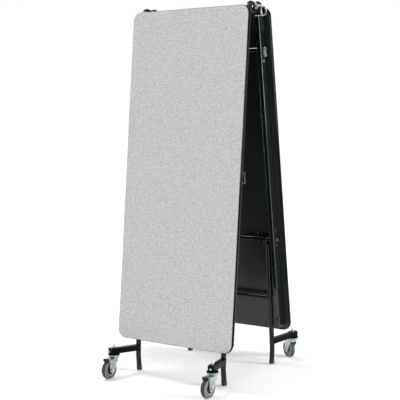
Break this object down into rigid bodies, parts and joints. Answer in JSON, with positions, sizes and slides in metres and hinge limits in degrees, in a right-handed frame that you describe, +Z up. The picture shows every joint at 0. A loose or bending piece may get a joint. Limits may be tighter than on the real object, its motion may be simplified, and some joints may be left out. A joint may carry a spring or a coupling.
{
  "type": "folding cafeteria table",
  "caption": "Long mobile cafeteria table whose two halves fold up to stand back to back on splayed legs with swivel casters.",
  "frame": {"origin": "middle of the table's footprint, on the floor under the casters", "axes": "+X across the table's width, to the right as seen from the near half; +Y from the near half to the far half; +Z up"},
  "size_m": [0.7618, 1.001, 2.0375],
  "materials": {
    "laminate": "matte pale grey laminate with a soft grey cloud pattern",
    "core": "black sealed particle board underside",
    "edge_moulding": "satin black vinyl edge moulding",
    "black_frame": "black powder coat, semi gloss",
    "black_leg": "black powder coat on tube, semi gloss",
    "black_arm": "black powder coat, satin",
    "black_hinge": "black powder coat on plate, semi gloss",
    "black_plastic": "black moulded plastic",
    "zinc": "bright bluish zinc plating",
    "zinc_bolt": "bright zinc plating",
    "spring_steel": "drawn spring wire",
    "dark_steel": "dark oiled steel",
    "tyre": "grey non marking rubber",
    "hub_plastic": "dark moulded nylon",
    "brake_plastic": "black moulded plastic"
  },
  "bodies": {
    "near_leg_set": {"near_left_leg": "black_leg", "near_right_leg": "black_leg", "near_leg_brace": "black_leg", "near_left_caster_arm": "black_arm", "near_right_caster_arm": "black_arm", "near_foot_caps": "black_plastic", "near_stem_bolts": "zinc_bolt"},
    "near_half": {"near_laminate": "laminate", "near_core": "core", "near_edge_band": "edge_moulding", "near_left_rail": "black_frame", "near_right_rail": "black_frame", "near_left_hinge_plate": "black_hinge", "near_right_hinge_plate": "black_hinge", "near_cross_tube": "black_frame", "near_torsion_bar": "zinc", "near_lift_spring": "spring_steel", "near_leg_saddles": "black_hinge", "near_rail_plugs": "black_plastic", "near_top_fasteners": "zinc_bolt", "hinge_pins": "dark_steel"},
    "far_half": {"far_laminate": "laminate", "far_core": "core", "far_edge_band": "edge_moulding", "far_left_rail": "black_frame", "far_right_rail": "black_frame", "far_left_hinge_plate": "black_hinge", "far_right_hinge_plate": "black_hinge", "far_cross_tube": "black_frame", "far_torsion_bar": "zinc", "far_lift_spring": "spring_steel", "far_leg_saddles": "black_hinge", "far_rail_plugs": "black_plastic", "far_top_fasteners": "zinc_bolt", "far_wire_keeper": "spring_steel"},
    "far_leg_set": {"far_left_leg": "black_leg", "far_right_leg": "black_leg", "far_leg_brace": "black_leg", "far_left_caster_arm": "black_arm", "far_right_caster_arm": "black_arm", "far_foot_caps": "black_plastic", "far_stem_bolts": "zinc_bolt"},
    "near_left_caster": {"near_left_fork": "zinc", "near_left_axle": "zinc_bolt"},
    "near_left_wheel": {"near_left_tyre": "tyre", "near_left_hub": "hub_plastic"},
    "near_left_brake": {"near_left_brake_pedal": "brake_plastic"},
    "near_right_caster": {"near_right_fork": "zinc", "near_right_axle": "zinc_bolt"},
    "near_right_wheel": {"near_right_tyre": "tyre", "near_right_hub": "hub_plastic"},
    "near_right_brake": {"near_right_brake_pedal": "brake_plastic"},
    "far_left_caster": {"far_left_fork": "zinc", "far_left_axle": "zinc_bolt"},
    "far_left_wheel": {"far_left_tyre": "tyre", "far_left_hub": "hub_plastic"},
    "far_right_caster": {"far_right_fork": "zinc", "far_right_axle": "zinc_bolt"},
    "far_right_wheel": {"far_right_tyre": "tyre", "far_right_hub": "hub_plastic"}
  },
  "joints": [
    {"name": "near_leg_fold", "type": "hinge", "parent": "near_leg_set", "child": "near_half", "pos_m": [0, -0.20133, 0.7305], "axis": [-1, 0, 0], "range_deg": [0, 83.4]},
    {"name": "centre_fold", "type": "hinge", "parent": "near_half", "child": "far_half", "pos_m": [0, 0.01647, 2.00386], "axis": [1, 0, 0], "range_deg": [0, 166.8]},
    {"name": "far_leg_fold", "type": "hinge", "parent": "far_half", "child": "far_leg_set", "pos_m": [0, 0.23427, 0.7305], "axis": [-1, 0, 0], "range_deg": [0, 83.4]},
    {"name": "near_left_swivel", "type": "hinge", "parent": "near_leg_set", "child": "near_left_caster", "pos_m": [-0.329, -0.40453, 0.127], "axis": [0, 0, 1], "continuous": true},
    {"name": "near_left_spin", "type": "hinge", "parent": "near_left_caster", "child": "near_left_wheel", "pos_m": [-0.329, -0.44953, 0.051], "axis": [1, 0, 0], "continuous": true},
    {"name": "near_left_brake_press", "type": "hinge", "parent": "near_left_caster", "child": "near_left_brake", "pos_m": [-0.329, -0.46453, 0.107], "axis": [1, 0, 0], "range_deg": [0, 9]},
    {"name": "near_right_swivel", "type": "hinge", "parent": "near_leg_set", "child": "near_right_caster", "pos_m": [0.329, -0.40453, 0.127], "axis": [0, 0, 1], "continuous": true},
    {"name": "near_right_spin", "type": "hinge", "parent": "near_right_caster", "child": "near_right_wheel", "pos_m": [0.329, -0.44953, 0.051], "axis": [1, 0, 0], "continuous": true},
    {"name": "near_right_brake_press", "type": "hinge", "parent": "near_right_caster", "child": "near_right_brake", "pos_m": [0.329, -0.46453, 0.107], "axis": [1, 0, 0], "range_deg": [0, 9]},
    {"name": "far_left_swivel", "type": "hinge", "parent": "far_leg_set", "child": "far_left_caster", "pos_m": [-0.329, 0.43747, 0.127], "axis": [0, 0, 1], "continuous": true},
    {"name": "far_left_spin", "type": "hinge", "parent": "far_left_caster", "child": "far_left_wheel", "pos_m": [-0.329, 0.39247, 0.051], "axis": [1, 0, 0], "continuous": true},
    {"name": "far_right_swivel", "type": "hinge", "parent": "far_leg_set", "child": "far_right_caster", "pos_m": [0.329, 0.43747, 0.127], "axis": [0, 0, 1], "continuous": true},
    {"name": "far_right_spin", "type": "hinge", "parent": "far_right_caster", "child": "far_right_wheel", "pos_m": [0.29126, 0.46198, 0.051], "axis": [-0.5446, -0.8387, 0], "continuous": true}
  ],
  "couplings": [
    {"joint": "centre_fold", "follows": "near_leg_fold", "ratio": 2},
    {"joint": "far_leg_fold", "follows": "near_leg_fold", "ratio": 1}
  ]
}
